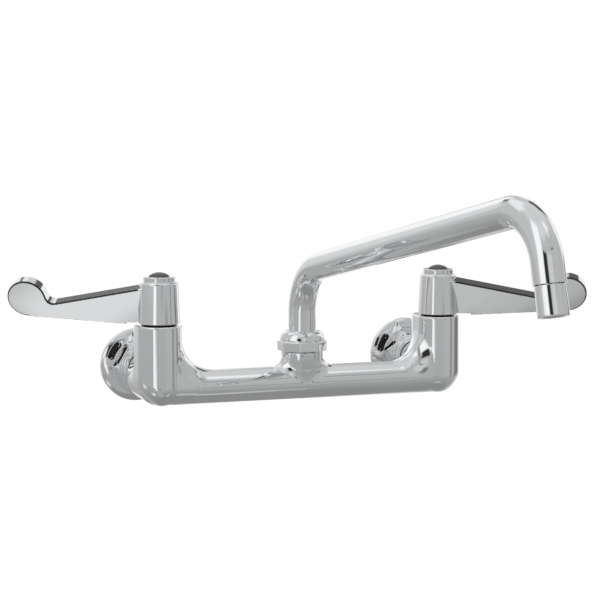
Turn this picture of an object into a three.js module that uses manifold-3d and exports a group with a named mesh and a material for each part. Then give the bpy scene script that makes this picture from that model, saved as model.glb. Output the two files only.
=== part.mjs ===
// Commercial wall faucet: a cast bar body on two wall inlets, two quarter-turn valves with wrist-blade
// handles, and a bent tube spout that swings above the body.
// Millimetres. +X runs along the body to the right, +Y into the wall, +Z up.
// The origin lies on the wall plane, midway between the two inlets, at the height of their axes.

import * as THREE from "three";
import { mergeVertices } from "three/addons/utils/BufferGeometryUtils.js";
import Module from "manifold-3d";

const wasm = await Module();
wasm.setup();

// ---------------------------------------------------------------- driving dimensions

const gap = 0.3; // left between two pieces that seat on, or turn in, each other
const ringProud = 0.1; // how far a sealing ring stands out of its groove

// Wall flange, inlet washer and coupling nut; distances along the inlet axis are from the wall
const inletSpacing = 203.2; // between the two inlet axes
const flangeRadius = 25.6;
const flangeRimThickness = 3.4;
const flangeCrownRadius = 20.5;
const flangeThickness = 6.4;
const slotCircleRadius = 20;
const slotLength = 14;
const slotWidth = 4.6;
const leftSlotAngle = 148; // degrees from +X towards +Z
const rightSlotAngle = 155;
const supplyBoreRadius = 9.3; // female pipe port
const supplyBoreDepth = 9;
const washerHoleRadius = 8.2;
const washerThickness = 2.1;
const bossLength = 7.5; // in front of the flange
const bossEnd = flangeThickness + bossLength;
const tailRadius = 11; // tail that the coupling nut turns on
const tailLipRadius = 12.4;
const tailLipThickness = 2.4;
const tailEnd = bossEnd + gap + washerThickness + gap;
const couplingFlats = 31.75; // across flats
const couplingNoseRadius = 14.6;
const couplingNoseLength = 5;
const couplingLipThickness = 3.9;
const couplingChamfer = 1.6;
const couplingBack = flangeThickness + 0.5;
const couplingFront = tailEnd + tailLipThickness + gap + couplingLipThickness;
const leftCouplingTurn = 0; // degrees
const rightCouplingTurn = -10;

// Cast body
const wallToColumn = 63.5; // from the wall to the axes of the columns
const columnRadius = 15.2; // at the top of a column
const columnDraft = 0.4; // extra radius at its foot
const columnDepth = 8; // how far a column's oval runs back from its axis
const columnTop = 34.4; // above the inlet axes
const columnTopRound = 1.2;
const footRound = 15; // outer lower corner of a column
const barRadius = 11.5;
const barDrop = 8.65; // bar axis below the inlet axes
const barFillet = 19; // between a column and the bar
const filletCrown = 30; // height of the fillets' arched section above the bar axis
const drumRadius = 15; // round back of a column, in front of the coupling
const drumBack = couplingFront + 4.8; // from the wall
const drumRound = 4;
const passageRadius = 6; // along the bar
const inletBoreRadius = 7;

// Neck of the body, the sleeve in its socket and the nut that holds the spout down
const spoutRadius = 9.525;
const sleeveWall = 1.475;
const spoutSocketRadius = spoutRadius + gap + sleeveWall + gap;
const neckThreadRadius = spoutSocketRadius + 1.4;
const neckRadius = neckThreadRadius + 1.4;
const neckFillet = 5;
const neckTop = 21; // above the inlet axes
const neckThreadLength = 7.9;
const spoutSocketDepth = 16.7;
const spoutSocketFloor = neckTop - spoutSocketDepth;
const spoutPassageRadius = 7;
const sleeveRingRises = [3.5, 9.7]; // of the sealing rings above the foot of the riser
const sleeveRingSection = 0.5; // radius of a ring's own section
const thrustThickness = 2.2;
const spoutNutFlats = 31.75; // across flats
const spoutNutLip = 3.2;
const spoutNutHeight = 13.5;
const spoutNutBand = 6.7; // height of its full-width part
const spoutNutCrownRadius = 11;

// Valve cartridge: it seats at the foot of a column and the bonnet nut clamps its shoulder
const seatLevel = 1; // above the inlet axes
const seatBoreRadius = 6;
const sealThickness = 2;
const sealHoleRadius = 6.2;
const cartridgeBoreRadius = 8;
const cartridgeWall = 2.1;
const cartridgeLipThickness = 0.8;
const discPortRadius = 2;
const discPortOffset = 4.2;
const fixedDiscThickness = 2.8;
const movingDiscThickness = 4.2;
const driveSlotDepth = 1.6;
const driveTabWidth = 4.6;
const driveTabHeight = 3;
const windowRadius = 3.2;
const collarHeight = 4;
const collarInset = 4; // of the collar's top below the cartridge's shoulder
const stemRadius = 4;
const stemRingSection = 0.75; // radius of the ring's own section
const cartridgeNeckRadius = 7;
const bonnetThreadRadius = 11.7;
const bonnetDepth = 8.4; // of the bonnet nut's thread in the column
const bonnetFlats = 17.4; // across flats
const bonnetHexHeight = 7;

// Handle, its screw and its index button
const handleGap = 1.2; // open line between a column and its handle
const hubBottomRadius = 14.1;
const hubTopRadius = 12.8;
const hubCrownRadius = 10.8;
const hubCrownHeight = 3.6;
const hubFlatCount = 12;
const hubFlatDepth = 0.5;
const stemEngagement = 9.1; // length of stem inside the handle's broach
const screwFloor = 3.3; // between the broach and the screw's seat
const screwHeadRadius = 3.6;
const screwHeadHeight = 3.1;
const screwRadius = 1.9;
const screwLength = 11.5;
const buttonRadius = 7;
const buttonHeight = 7.9;
const buttonDome = 2.4;
const buttonProud = 2.8; // of the hub's top
const bladeThickness = 7.8;
const bladeLean = 24; // degrees, upper edge towards the front of the faucet
const bladeAxisRise = 12.4; // above the foot of the hub
const paddleReach = 90.6; // from the handle's axis to the centre of its paddle
const paddleRadius = 13.25;
const paddleRise = 4.7; // of that centre above the blade's axis
const bladeRootAbove = 16.2; // upper edge at the handle's axis, above the blade's axis
const bladeRootBelow = 14.8; // lower edge there, below the blade's axis
const bladeTaper = 11.7; // degrees by which the upper edge falls outwards
const bladeFillet = 7; // between the upper edge and the paddle
const bladeEdge = 0.7; // broken edge all round
const leftHandleAngle = 151.4; // degrees from +X towards +Y
const rightHandleAngle = -25.9;

// Spout
const spoutReach = 304.8; // from the swing axis to the centre of the outlet
const spoutWall = 1.2;
const riserHeight = 41.3; // from the top of the nut to the corner of the straight runs
const armRise = 59.7; // from that corner to the outer one
const outletFall = 60.6; // from the outer corner to the mouth
const outletTilt = 13.5; // degrees outwards from straight down
const bendRadius = 34; // centre line
const spoutAngle = -83; // degrees from +X towards +Y

// Outlet fitting
const outletLength = 17.6;
const outletSeamInset = 0.775; // of the fitting's surface from the tube's, at the seam
const outletMouthInset = 0.475; // and at the mouth
const outletWall = 1.55;
const outletLip = 1.2;
const outletLipWidth = 0.9;
const spigotLength = 5;
const spigotWall = 0.9;
const straightenerThickness = 5;
const straightenerHole = 0.9;
const screenThickness = 1;
const screenHole = 1.3;
const holePitch = 3.8;
const outletWasherHole = 5;

// ---------------------------------------------------------------- shared geometry

const fineSides = 30;
const roundSides = 24;
const smallSides = 16;
const stepsPerBend = 7;
const radians = THREE.MathUtils.degToRad;

function solidOf(geometry) {
  const bare = geometry.clone();
  bare.deleteAttribute("normal");
  bare.deleteAttribute("uv");
  const merged = mergeVertices(bare, 1e-4);
  return new wasm.Manifold(
    new wasm.Mesh({
      numProp: 3,
      vertProperties: new Float32Array(merged.attributes.position.array),
      triVerts: new Uint32Array(merged.index.array),
    }),
  );
}

function geometryOf(solid) {
  const mesh = solid.getMesh();
  const geometry = new THREE.BufferGeometry();
  geometry.setAttribute("position", new THREE.BufferAttribute(mesh.vertProperties, 3));
  geometry.setIndex(new THREE.BufferAttribute(mesh.triVerts, 1));
  const faceted = geometry.toNonIndexed();
  faceted.computeVertexNormals();
  return faceted;
}

function joined(...geometries) {
  return geometryOf(geometries.map(solidOf).reduce((sum, solid) => sum.add(solid)));
}

function cut(geometry, ...tools) {
  return geometryOf(tools.map(solidOf).reduce((rest, tool) => rest.subtract(tool), solidOf(geometry)));
}

function common(geometry, other) {
  return geometryOf(solidOf(geometry).intersect(solidOf(other)));
}

// Signed area of a closed [radius, height] outline; positive when it runs counter-clockwise.
function outlineArea(outline) {
  return outline.reduce((area, [r, z], i) => {
    const [nextR, nextZ] = outline[(i + 1) % outline.length];
    return area + (r * nextZ - nextR * z) / 2;
  }, 0);
}

// A body turned about Z from a closed [radius, height] outline. Its facets stay tangent to +X and -X.
function turned(outline, sides = roundSides) {
  const ordered = outlineArea(outline) > 0 ? outline : [...outline].reverse();
  const profile = [...ordered, ordered[0]].map(([r, z]) => new THREE.Vector2(r, z));
  const lathe = new THREE.LatheGeometry(profile, sides);
  return lathe.rotateX(Math.PI / 2);
}

// A plain round bar between two heights.
function rod(radius, bottom, top, sides = roundSides) {
  return turned([[0, bottom], [radius, bottom], [radius, top], [0, top]], sides);
}

// A round tube between two heights.
function ring(innerRadius, outerRadius, bottom, top, sides = roundSides) {
  return turned([[innerRadius, bottom], [outerRadius, bottom], [outerRadius, top], [innerRadius, top]], sides);
}

// A sealing ring of round section that stands a little proud of the plug it seals.
function sealingRing(plugRadius, section, height, sides) {
  const sectionSides = 6;
  const centreRadius = plugRadius + ringProud - section;
  const outline = Array.from({ length: sectionSides }, (_, i) => {
    const angle = (2 * Math.PI * (i + 0.5)) / sectionSides;
    return [centreRadius + section * Math.cos(angle), height + section * Math.sin(angle)];
  });
  return turned(outline, sides);
}

// The groove that such a ring lies in, as points of the plug's outline from its lower edge to its upper one.
function ringGroove(plugRadius, section, height) {
  const floor = plugRadius + ringProud - 2 * section - gap / 2;
  const half = section + gap / 2;
  return [
    [plugRadius, height - half],
    [floor, height - half],
    [floor, height + half],
    [plugRadius, height + half],
  ];
}

// Points of an arc in an outline, from one angle to another in degrees.
function arc(centreR, centreZ, radius, fromDegrees, toDegrees, steps) {
  return Array.from({ length: steps + 1 }, (_, i) => {
    const angle = radians(fromDegrees + ((toDegrees - fromDegrees) * i) / steps);
    return [centreR + radius * Math.cos(angle), centreZ + radius * Math.sin(angle)];
  });
}

// A regular prism, measured across its flats, with a corner at the given angle.
function prism(sides, acrossFlats, bottom, top, cornerDegrees = 0) {
  const cornerRadius = acrossFlats / 2 / Math.cos(Math.PI / sides);
  const outline = new THREE.Shape(
    Array.from({ length: sides }, (_, i) => {
      const angle = radians(cornerDegrees) + (2 * Math.PI * i) / sides;
      return new THREE.Vector2(cornerRadius * Math.cos(angle), cornerRadius * Math.sin(angle));
    }),
  );
  return new THREE.ExtrudeGeometry(outline, { depth: top - bottom, bevelEnabled: false }).translate(0, 0, bottom);
}

// Turns a body made about Z so that its axis runs along Y: height z becomes distance z in front of the wall.
function facingOut(geometry) {
  return geometry.rotateX(Math.PI / 2);
}

// Turns a body made about Z so that its axis runs along X.
function lyingAlongX(geometry) {
  return geometry.rotateY(Math.PI / 2);
}

// ---------------------------------------------------------------- finishes

const finishes = {
  chrome: { color: 0xd4d6d8, roughness: 0.08, metalness: 1 },
  brass: { color: 0xb9975a, roughness: 0.35, metalness: 1 },
  stainless: { color: 0xa9abad, roughness: 0.3, metalness: 1 },
  rubber: { color: 0x1b1b1c, roughness: 0.8, metalness: 0 },
  ceramic: { color: 0xe8e6df, roughness: 0.25, metalness: 0 },
  polymer: { color: 0xdcdcd8, roughness: 0.5, metalness: 0 },
  graphite: { color: 0x35373a, roughness: 0.35, metalness: 0.1 },
};

function piece(name, finish, geometry) {
  const mesh = new THREE.Mesh(geometry, new THREE.MeshStandardMaterial(finishes[finish]));
  mesh.name = name;
  return mesh;
}

// ---------------------------------------------------------------- cast body

const bodyBottom = -barDrop - barRadius;
const barTop = -barDrop + barRadius;
const columnFootRadius = columnRadius + columnDraft;
const halfSpacing = inletSpacing / 2;
const bonnetSeatLevel = columnTop - bonnetDepth;
const cartridgeRadius = cartridgeBoreRadius + cartridgeWall;
const chamberRadius = cartridgeRadius + gap;

// Half outline of a column in its [radius, height] plane.
function columnOutline() {
  const footCentre = columnFootRadius - footRound;
  return [
    [0, bodyBottom],
    ...arc(footCentre, bodyBottom + footRound, footRound, -90, 0, 5),
    ...arc(columnRadius - columnTopRound, columnTop - columnTopRound, columnTopRound, 0, 90, 2),
    [0, columnTop],
  ];
}

// A column: its outline turned about the axis, repeated further back, with the oval filled between.
function column() {
  const outline = columnOutline();
  const front = turned(outline);
  const back = turned(outline).translate(0, columnDepth, 0);
  const mirrored = [...outline].reverse().map(([r, z]) => [-r, z]);
  const section = new THREE.Shape([...outline, ...mirrored.slice(1, -1)].map(([x, z]) => new THREE.Vector2(x, z)));
  const between = new THREE.ExtrudeGeometry(section, { depth: columnDepth, bevelEnabled: false });
  between.rotateX(Math.PI / 2).translate(0, columnDepth, 0);
  return joined(front, back, between);
}

// The round back of a column and the tail that leads into the coupling.
function inletTail() {
  const drumLength = wallToColumn - drumBack;
  const drum = turned([
    [0, 0],
    [drumRadius, 0],
    ...arc(drumRadius - drumRound, drumLength - drumRound, drumRound, 0, 90, 3),
    [0, drumLength],
  ]);
  const tailLength = wallToColumn - tailEnd;
  const tail = turned([
    [0, 0],
    [tailRadius, 0],
    [tailRadius, tailLength - tailLipThickness],
    [tailLipRadius, tailLength - tailLipThickness],
    [tailLipRadius, tailLength],
    [0, tailLength],
  ]);
  const drumLevel = bodyBottom + drumRadius;
  return joined(drum.rotateX(-Math.PI / 2).translate(0, 0, drumLevel), tail.rotateX(-Math.PI / 2));
}

// The concave flare that a column or the neck stands on, before it is trimmed to the bar's section.
function flare(radius, fillet) {
  return turned([
    [0, -barDrop],
    [radius + fillet, -barDrop],
    [radius + fillet, barTop],
    ...arc(radius + fillet, barTop + fillet, fillet, -90, -180, 5).slice(1),
    [0, barTop + fillet],
  ]);
}

// Arched section, along the whole bar, that the flares are trimmed to.
function filletEnvelope() {
  const steps = 12;
  const arch = Array.from({ length: steps + 1 }, (_, i) => {
    const angle = (Math.PI * i) / steps;
    return new THREE.Vector2(filletCrown * Math.sin(angle), barRadius * Math.cos(angle));
  });
  const prismAlongX = new THREE.ExtrudeGeometry(new THREE.Shape(arch.reverse()), {
    depth: inletSpacing,
    bevelEnabled: false,
  });
  return prismAlongX.rotateY(-Math.PI / 2).translate(halfSpacing, 0, -barDrop);
}

function neck() {
  const bowl = Array.from({ length: 6 }, (_, i) => {
    const angle = (Math.PI / 2) * (i / 5);
    return [neckRadius * Math.sin(angle), -barDrop - barRadius * Math.cos(angle)];
  });
  return turned([
    ...bowl,
    [neckRadius, neckTop - neckThreadLength],
    [neckThreadRadius, neckTop - neckThreadLength],
    [neckThreadRadius, neckTop],
    [0, neckTop],
  ]);
}

// Water passages of one side, about the column's axis.
function sidePassages() {
  const inletLength = wallToColumn - tailEnd + 1;
  const inletStart = chamberRadius - 2;
  return [
    rod(seatBoreRadius, -barDrop - passageRadius, seatLevel + 1, smallSides),
    rod(chamberRadius, seatLevel, bonnetSeatLevel + 1),
    rod(bonnetThreadRadius + gap, bonnetSeatLevel, columnTop + 1),
    rod(inletBoreRadius, inletStart, inletLength, smallSides).rotateX(-Math.PI / 2),
  ];
}

function castBody() {
  const sides = [-halfSpacing, halfSpacing];
  const bar = lyingAlongX(rod(barRadius, -halfSpacing, halfSpacing)).translate(0, 0, -barDrop);
  const flares = joined(
    flare(neckRadius, neckFillet),
    ...sides.map((x) => flare(columnFootRadius, barFillet).translate(x, 0, 0)),
  );
  const outside = joined(
    bar,
    neck(),
    common(flares, filletEnvelope()),
    ...sides.flatMap((x) => [column().translate(x, 0, 0), inletTail().translate(x, 0, 0)]),
  );
  const along = lyingAlongX(rod(passageRadius, -halfSpacing, halfSpacing, smallSides)).translate(0, 0, -barDrop);
  const socket = rod(spoutSocketRadius, spoutSocketFloor, neckTop + 1);
  const riserPassage = rod(spoutPassageRadius, -barDrop, spoutSocketFloor + 1, smallSides);
  const passages = sides.flatMap((x) => sidePassages().map((bore) => bore.translate(x, 0, 0)));
  return cut(outside, along, socket, riserPassage, ...passages);
}

// ---------------------------------------------------------------- wall flange, washer and coupling nut

// A slot with round ends, bent round the flange's centre.
function mountingSlot(centreDegrees) {
  const halfSweep = (slotLength - slotWidth) / 2 / slotCircleRadius;
  const middle = radians(centreDegrees);
  const inner = slotCircleRadius - slotWidth / 2;
  const outer = slotCircleRadius + slotWidth / 2;
  const shape = new THREE.Shape();
  const start = middle - halfSweep;
  const end = middle + halfSweep;
  shape.absarc(0, 0, outer, start, end, false);
  shape.absarc(
    slotCircleRadius * Math.cos(end), slotCircleRadius * Math.sin(end), slotWidth / 2, end, end + Math.PI, false,
  );
  shape.absarc(0, 0, inner, end, start, true);
  shape.absarc(
    slotCircleRadius * Math.cos(start), slotCircleRadius * Math.sin(start), slotWidth / 2,
    start + Math.PI, start + 2 * Math.PI, false,
  );
  const depth = flangeThickness + 2;
  return new THREE.ExtrudeGeometry(shape, { depth, bevelEnabled: false, curveSegments: 5 }).translate(0, 0, -1);
}

function wallFlange(slotAngle) {
  const disc = turned([
    [0, 0],
    [flangeRadius, 0],
    [flangeRadius, flangeRimThickness],
    [flangeCrownRadius, flangeThickness],
    [tailLipRadius, flangeThickness],
    [tailLipRadius, bossEnd],
    [0, bossEnd],
  ], fineSides);
  const supply = rod(supplyBoreRadius, -1, supplyBoreDepth, smallSides);
  const through = rod(washerHoleRadius, supplyBoreDepth - 1, bossEnd + 1, smallSides);
  // The profile faces out of the wall as seen from the front, so angles in it run from +X towards +Z.
  return facingOut(cut(disc, supply, through, mountingSlot(slotAngle), mountingSlot(slotAngle + 180)));
}

function inletWasher() {
  return facingOut(ring(washerHoleRadius, tailLipRadius - gap, bossEnd + gap, tailEnd - gap, smallSides));
}

function couplingNut(turn) {
  const hexagon = prism(6, couplingFlats, couplingBack, couplingFront, turn);
  const cornerRadius = couplingFlats / 2 / Math.cos(Math.PI / 6);
  const hexFront = couplingFront - couplingNoseLength;
  const turnedOutside = turned([
    [0, couplingBack],
    [cornerRadius - couplingChamfer, couplingBack],
    [cornerRadius, couplingBack + couplingChamfer / 2],
    [cornerRadius, hexFront - couplingChamfer],
    [couplingFlats / 2 - 0.2, hexFront],
    [couplingNoseRadius, hexFront + 0.8],
    [couplingNoseRadius, couplingFront - 1.4],
    [couplingNoseRadius - 1.4, couplingFront],
    [0, couplingFront],
  ]);
  const thread = rod(tailLipRadius + gap, couplingBack - 1, couplingFront - couplingLipThickness);
  const hole = rod(tailRadius + gap, couplingBack, couplingFront + 1);
  return facingOut(cut(common(hexagon, turnedOutside), thread, hole));
}

function inletFittings(side, x) {
  const isLeft = side === "left";
  const group = new THREE.Group();
  group.position.set(x, 0, 0);
  group.add(
    piece(`${side}_wall_flange`, "chrome", wallFlange(isLeft ? leftSlotAngle : rightSlotAngle)),
    piece(`${side}_inlet_washer`, "rubber", inletWasher()),
    piece(`${side}_coupling_nut`, "chrome", couplingNut(isLeft ? leftCouplingTurn : rightCouplingTurn)),
  );
  return group;
}

// ---------------------------------------------------------------- valve cartridge

const sealBottom = seatLevel + gap;
const cartridgeBottom = sealBottom + sealThickness + gap;
const fixedDiscBottom = cartridgeBottom + cartridgeLipThickness + gap;
const movingDiscBottom = fixedDiscBottom + fixedDiscThickness + gap;
const driveSlotFloor = movingDiscBottom + movingDiscThickness - driveSlotDepth;
const movingDiscTop = movingDiscBottom + movingDiscThickness;
const tabBottom = driveSlotFloor + gap;
const discRadius = cartridgeBoreRadius - gap;
const collarTop = bonnetSeatLevel - collarInset;
const collarBottom = collarTop - collarHeight;
const bonnetTop = columnTop + bonnetHexHeight;
const cartridgeNeckTop = bonnetTop + 1.6;
const skirtTop = cartridgeNeckTop + 1.4;
const stemTop = skirtTop + stemEngagement;
const broachTop = stemTop + gap;
const screwSeat = broachTop + screwFloor;
const collarRadius = cartridgeBoreRadius - gap;
const stemRingLevel = (collarBottom + collarTop) / 2;

function seatSeal() {
  return ring(sealHoleRadius, cartridgeRadius - 0.8, sealBottom, sealBottom + sealThickness, smallSides);
}

function cartridgeBody() {
  const outside = turned([
    [0, cartridgeBottom],
    [cartridgeRadius, cartridgeBottom],
    [cartridgeRadius, bonnetSeatLevel],
    [cartridgeNeckRadius, bonnetSeatLevel],
    [cartridgeNeckRadius, cartridgeNeckTop],
    [0, cartridgeNeckTop],
  ]);
  const windows = rod(windowRadius, -cartridgeRadius - 1, cartridgeRadius + 1, 16).rotateX(Math.PI / 2);
  return cut(
    outside,
    rod(discRadius - 1.4, cartridgeBottom - 1, fixedDiscBottom, smallSides),
    rod(cartridgeBoreRadius, cartridgeBottom + cartridgeLipThickness, collarTop + gap, smallSides),
    rod(stemRadius + gap, collarTop, cartridgeNeckTop + 1, smallSides),
    windows.translate(0, 0, collarBottom - windowRadius - gap),
  );
}

// A ceramic disc with two ports on a line at the given angle.
function portedDisc(bottom, top, portDegrees) {
  const ports = [0, 180].map((turn) => {
    const angle = radians(portDegrees + turn);
    const port = rod(discPortRadius, bottom - 1, top + 1, 12);
    return port.translate(discPortOffset * Math.cos(angle), discPortOffset * Math.sin(angle), 0);
  });
  return cut(rod(discRadius, bottom, top, smallSides), ...ports);
}

function movingDisc() {
  const slot = new THREE.BoxGeometry(2 * discRadius + 2, driveTabWidth + 2 * gap, 2 * driveSlotDepth);
  return cut(portedDisc(movingDiscBottom, movingDiscTop, 90), slot.translate(0, 0, movingDiscTop));
}

function valveStem() {
  const shaft = turned([
    [0, movingDiscTop + gap],
    [stemRadius, movingDiscTop + gap],
    [stemRadius, collarBottom],
    [collarRadius, collarBottom],
    ...ringGroove(collarRadius, stemRingSection, stemRingLevel),
    [collarRadius, collarTop],
    [stemRadius, collarTop],
    [stemRadius, stemTop],
    [0, stemTop],
  ], smallSides);
  const tab = new THREE.BoxGeometry(2 * discRadius - 2, driveTabWidth, driveTabHeight);
  const screwHole = rod(screwRadius + gap, screwSeat + gap - screwLength - gap, stemTop + 1, 12);
  return cut(joined(shaft, tab.translate(0, 0, tabBottom + driveTabHeight / 2)), screwHole);
}

function bonnetNut() {
  const outside = joined(
    rod(bonnetThreadRadius, bonnetSeatLevel + gap, columnTop),
    prism(6, bonnetFlats, columnTop - 1, bonnetTop),
  );
  return cut(outside, rod(cartridgeNeckRadius + gap, bonnetSeatLevel, bonnetTop + 1));
}

function valve(side, x) {
  const group = new THREE.Group();
  group.position.set(x, -wallToColumn, 0);
  group.add(
    piece(`${side}_seat_seal`, "rubber", seatSeal()),
    piece(`${side}_cartridge_body`, "brass", cartridgeBody()),
    piece(`${side}_fixed_disc`, "ceramic", portedDisc(fixedDiscBottom, fixedDiscBottom + fixedDiscThickness, 0)),
    piece(`${side}_moving_disc`, "ceramic", movingDisc()),
    piece(`${side}_valve_stem`, "brass", valveStem()),
    piece(`${side}_stem_ring`, "rubber", sealingRing(collarRadius, stemRingSection, stemRingLevel, smallSides)),
    piece(`${side}_bonnet_nut`, "brass", bonnetNut()),
  );
  return group;
}

// ---------------------------------------------------------------- handle

const hubBottom = columnTop + handleGap;
const bladeAxisHeight = hubBottom + bladeAxisRise;
const buttonSeat = screwSeat + gap + screwHeadHeight + 1.6;
const buttonTop = buttonSeat + buttonHeight;
const hubTop = buttonTop - buttonProud;
const hubShoulder = hubTop - hubCrownHeight;
const skirtRadius = bonnetFlats / 2 / Math.cos(Math.PI / 6) + 0.75;

// The blade's outline, outwards along x and upwards along y, with its axis at y = 0.
function bladeOutline() {
  const paddle = new THREE.Vector2(paddleReach, paddleRise);
  // Lower edge: the line from the root that touches the paddle from below.
  const root = new THREE.Vector2(0, -bladeRootBelow);
  const toPaddle = paddle.clone().sub(root);
  const lowerAngle = toPaddle.angle() - Math.asin(paddleRadius / toPaddle.length());
  const lowerTouch = lowerAngle - Math.PI / 2;
  // Upper edge: a falling line, then a fillet that touches both it and the paddle.
  const fall = radians(bladeTaper);
  const upperNormal = new THREE.Vector2(Math.sin(fall), Math.cos(fall));
  const upperStart = new THREE.Vector2(0, bladeRootAbove);
  const rise = bladeFillet + upperStart.clone().sub(paddle).dot(upperNormal);
  const reach = Math.sqrt((paddleRadius + bladeFillet) ** 2 - rise ** 2);
  const filletCentre = paddle
    .clone()
    .addScaledVector(upperNormal, rise)
    .addScaledVector(new THREE.Vector2(-Math.cos(fall), Math.sin(fall)), reach);
  const upperTouch = filletCentre.clone().sub(paddle).angle();
  const shape = new THREE.Shape();
  shape.moveTo(upperStart.x, upperStart.y);
  shape.lineTo(root.x, root.y);
  shape.absarc(paddle.x, paddle.y, paddleRadius, lowerTouch, upperTouch, false);
  shape.absarc(filletCentre.x, filletCentre.y, bladeFillet, upperTouch + Math.PI, 1.5 * Math.PI - fall, true);
  return shape;
}

function blade(lean) {
  const plate = new THREE.ExtrudeGeometry(bladeOutline(), {
    depth: bladeThickness - 2 * bladeEdge,
    bevelEnabled: true,
    bevelThickness: bladeEdge,
    bevelSize: bladeEdge,
    bevelOffset: -bladeEdge,
    bevelSegments: 1,
    curveSegments: 14,
  });
  plate.translate(0, 0, bladeEdge - bladeThickness / 2);
  return plate.rotateX(Math.PI / 2 + lean).translate(0, 0, bladeAxisHeight);
}

function hub() {
  const taper = (hubBottomRadius - hubTopRadius) / (hubShoulder - hubBottom);
  const shoulderRound = hubTopRadius - hubCrownRadius;
  const turnedHub = turned([
    [0, hubBottom],
    [hubBottomRadius, hubBottom],
    [hubTopRadius + taper * shoulderRound, hubShoulder - shoulderRound],
    [hubTopRadius - shoulderRound / 3, hubShoulder - shoulderRound / 3],
    [hubCrownRadius, hubShoulder],
    [hubCrownRadius, hubTop - 0.6],
    [hubCrownRadius - 0.6, hubTop],
    [0, hubTop],
  ], fineSides);
  const flatsTaper = hubTopRadius / hubBottomRadius;
  const cornerScale = 1 / Math.cos(Math.PI / hubFlatCount);
  const flatsRadius = (hubBottomRadius - hubFlatDepth) * cornerScale;
  const height = hubTop - hubBottom;
  const flats = new THREE.CylinderGeometry(
    flatsRadius * flatsTaper, flatsRadius, height, hubFlatCount, 1, false, Math.PI / hubFlatCount,
  );
  flats.rotateX(Math.PI / 2).translate(0, 0, hubBottom + height / 2);
  return common(turnedHub, flats);
}

function handle(lean) {
  return cut(
    joined(hub(), blade(lean)),
    rod(columnRadius + columnDepth + gap, bodyBottom, hubBottom),
    rod(skirtRadius, bodyBottom, skirtTop),
    rod(stemRadius + gap, skirtTop - 1, broachTop, smallSides),
    rod(screwRadius + gap, broachTop - 1, screwSeat + 1, 12),
    rod(buttonRadius + gap, screwSeat, hubTop + 1, smallSides),
  );
}

function handleScrew() {
  const head = screwSeat + gap;
  return turned([
    [0, head - screwLength],
    [screwRadius, head - screwLength],
    [screwRadius, head],
    [screwHeadRadius, head],
    [screwHeadRadius, head + screwHeadHeight],
    [1.6, head + screwHeadHeight],
    [1.6, head + 1],
    [0, head + 1],
  ], 18);
}

function indexButton() {
  const dome = Array.from({ length: 6 }, (_, i) => {
    const angle = (Math.PI / 2) * (i / 5);
    return [buttonRadius * Math.cos(angle), buttonTop - buttonDome + buttonDome * Math.sin(angle)];
  });
  dome[dome.length - 1][0] = 0;
  return turned([[0, buttonSeat], [buttonRadius, buttonSeat], ...dome], smallSides);
}

function handleAssembly(side, x, angle, lean) {
  const group = new THREE.Group();
  group.position.set(x, -wallToColumn, 0);
  group.rotation.z = radians(angle);
  group.add(
    piece(`${side}_handle`, "chrome", handle(radians(lean))),
    piece(`${side}_handle_screw`, "stainless", handleScrew()),
    piece(`${side}_index_button`, "graphite", indexButton()),
  );
  return group;
}

// ---------------------------------------------------------------- spout

// A planar run of straight legs and round bends. It is sampled at stations: many in a bend, none in a leg.
class BentRun extends THREE.Curve {
  constructor(corners, radius, bendSteps) {
    super();
    this.stations = [];
    const add = (point, tangent) => this.stations.push({ point, tangent });
    const last = corners.length - 1;
    const direction = (i) => corners[i + 1].clone().sub(corners[i]).normalize();
    add(corners[0], direction(0));
    for (let i = 1; i < last; i += 1) {
      const into = direction(i - 1);
      const out = direction(i);
      const turn = into.angleTo(out);
      const axis = into.clone().cross(out).normalize();
      const start = corners[i].clone().addScaledVector(into, -radius * Math.tan(turn / 2));
      const centre = start.clone().addScaledVector(axis.clone().cross(into), radius);
      for (let k = 0; k <= bendSteps; k += 1) {
        const angle = (turn * k) / bendSteps;
        const point = start.clone().sub(centre).applyAxisAngle(axis, angle).add(centre);
        add(point, into.clone().applyAxisAngle(axis, angle));
      }
    }
    add(corners[last], direction(last - 1));
  }

  get steps() {
    return this.stations.length - 1;
  }

  getUtoTmapping(u) {
    return u;
  }

  getPoint(t, target = new THREE.Vector3()) {
    const place = t * this.steps;
    const index = Math.min(Math.floor(place), this.steps - 1);
    return target.lerpVectors(this.stations[index].point, this.stations[index + 1].point, place - index);
  }

  getTangent(t, target = new THREE.Vector3()) {
    return target.copy(this.stations[Math.round(t * this.steps)].tangent);
  }
}

const riserBottom = spoutSocketFloor + 2 * gap;
const sleeveRingLevels = sleeveRingRises.map((rise) => riserBottom + rise);
const nutLipUnderside = neckTop + 2 * gap + thrustThickness;
const spoutNutTop = nutLipUnderside + spoutNutLip;
const spoutNutBottom = spoutNutTop - spoutNutHeight;
const riserCorner = spoutNutTop + riserHeight;
const armCorner = riserCorner + armRise;
const outletHeight = armCorner - outletFall;
const tilt = radians(outletTilt);
const outletAxis = new THREE.Vector3(Math.sin(tilt), 0, -Math.cos(tilt));
const outletCentre = new THREE.Vector3(spoutReach, 0, outletHeight);
const tubeEnd = outletCentre.clone().addScaledVector(outletAxis, -outletLength - gap);
const armEnd = outletCentre.clone().addScaledVector(outletAxis, -outletFall / Math.cos(tilt));
const tubeInner = spoutRadius - spoutWall;
const sleeveRadius = spoutSocketRadius - gap;

function spoutTube() {
  const run = new BentRun(
    [new THREE.Vector3(0, 0, riserBottom), new THREE.Vector3(0, 0, riserCorner), armEnd, tubeEnd],
    bendRadius,
    stepsPerBend,
  );
  const section = new THREE.Shape().absarc(0, 0, spoutRadius, 0, 2 * Math.PI, false);
  section.holes.push(new THREE.Path().absarc(0, 0, tubeInner, 0, 2 * Math.PI, true));
  return new THREE.ExtrudeGeometry(section, { steps: run.steps, extrudePath: run, curveSegments: roundSides / 2 });
}

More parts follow.
